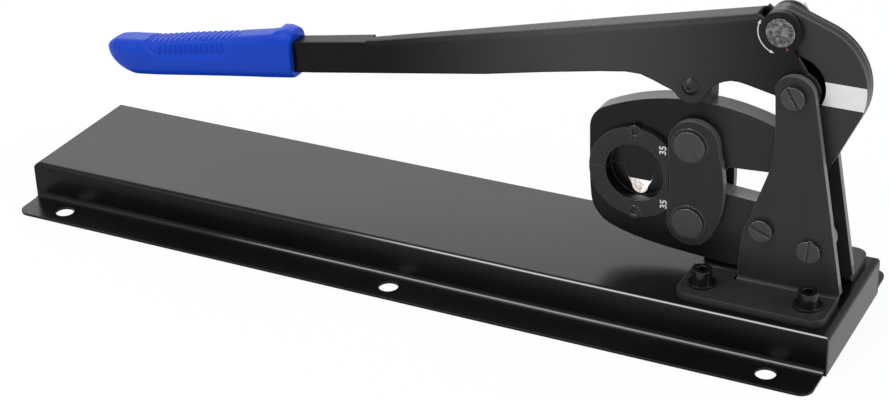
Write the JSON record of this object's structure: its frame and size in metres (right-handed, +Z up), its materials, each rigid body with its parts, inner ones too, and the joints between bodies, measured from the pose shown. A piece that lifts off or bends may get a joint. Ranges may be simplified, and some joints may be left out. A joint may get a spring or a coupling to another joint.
{
  "type": "bench lug crimper",
  "caption": "Bench-mounted lug crimper: a long lever with a moulded grip closes an upper jaw with die on a fixed lower jaw, on a folded steel base",
  "frame": {"origin": "centre of the base's four corner holes, on the bench plane", "axes": "+X along the base towards the crimping head, +Z up from the bench; the dial and the die marks face -Y"},
  "size_m": [0.5405, 0.15, 0.1963],
  "materials": {
    "black_paint": "satin black powder coat",
    "black_plate": "satin black finish",
    "black_screw": "blackened steel",
    "zinc_steel": "zinc plated",
    "jaw_steel": "blackened forged steel",
    "gunmetal": "gunmetal",
    "die_steel": "blackened tool steel with bright crimping faces",
    "white_label": "matt",
    "bronze": "plain turned",
    "blue_grip": "satin moulded vinyl",
    "black_rubber": "matt",
    "dial_zinc": "mottled cast zinc"
  },
  "bodies": {
    "frame": {"base_channel": "black_paint", "front_bracket": "black_plate", "rear_bracket": "black_plate", "foot_screws": "black_screw", "foot_washers": "black_screw", "under_washers": "zinc_steel", "foot_nuts": "zinc_steel", "lower_jaw": "jaw_steel", "jaw_spacers": "gunmetal", "clamp_bolts": "gunmetal", "clamp_nuts": "gunmetal", "fulcrum_bolt": "gunmetal", "fulcrum_nut": "gunmetal", "lower_die": "die_steel", "lower_die_screw": "black_screw"},
    "lever": {"lever_channel": "black_paint", "fulcrum_bush": "bronze", "grip": "blue_grip", "stop_bumper": "black_rubber", "stop_screw": "black_screw", "stop_nut": "zinc_steel"},
    "dial": {"adjust_dial": "dial_zinc", "dial_washer": "zinc_steel", "dial_back_nut": "zinc_steel"},
    "hook": {"hook_front_plate": "black_plate", "hook_inner_plates": "black_plate", "hook_rear_plate": "black_plate", "hook_pin": "gunmetal", "blank_label": "white_label"},
    "side_links": {"front_link_plate": "black_plate", "rear_link_plate": "black_plate", "upper_pin": "gunmetal", "lower_pin": "gunmetal", "pin_rings": "black_screw"},
    "upper_jaw": {"upper_jaw": "jaw_steel", "upper_die": "die_steel", "upper_die_screw": "black_screw"}
  },
  "joints": [
    {"name": "lever_lift", "type": "hinge", "parent": "frame", "child": "lever", "pos_m": [0.2325, 0, 0.15], "axis": [0, 1, 0], "range_deg": [0, 75]},
    {"name": "hook_pivot", "type": "hinge", "parent": "lever", "child": "hook", "pos_m": [0.2215, 0, 0.1843], "axis": [0, 1, 0], "range_deg": [-45, 0]},
    {"name": "link_rock", "type": "hinge", "parent": "frame", "child": "side_links", "pos_m": [0.172, 0, 0.0573], "axis": [0, 1, 0], "range_deg": [0, 5]},
    {"name": "jaw_open", "type": "hinge", "parent": "side_links", "child": "upper_jaw", "pos_m": [0.172, 0, 0.1066], "axis": [0, 1, 0], "range_deg": [0, 5]},
    {"name": "dial_turn", "type": "hinge", "parent": "lever", "child": "dial", "pos_m": [0.2215, 0, 0.1843], "axis": [0, 1, 0], "range_deg": [-90, 90]}
  ],
  "couplings": [
    {"joint": "hook_pivot", "follows": "lever_lift", "ratio": -0.6},
    {"joint": "link_rock", "follows": "lever_lift", "ratio": 0.06625},
    {"joint": "jaw_open", "follows": "lever_lift", "ratio": 0.06625}
  ]
}
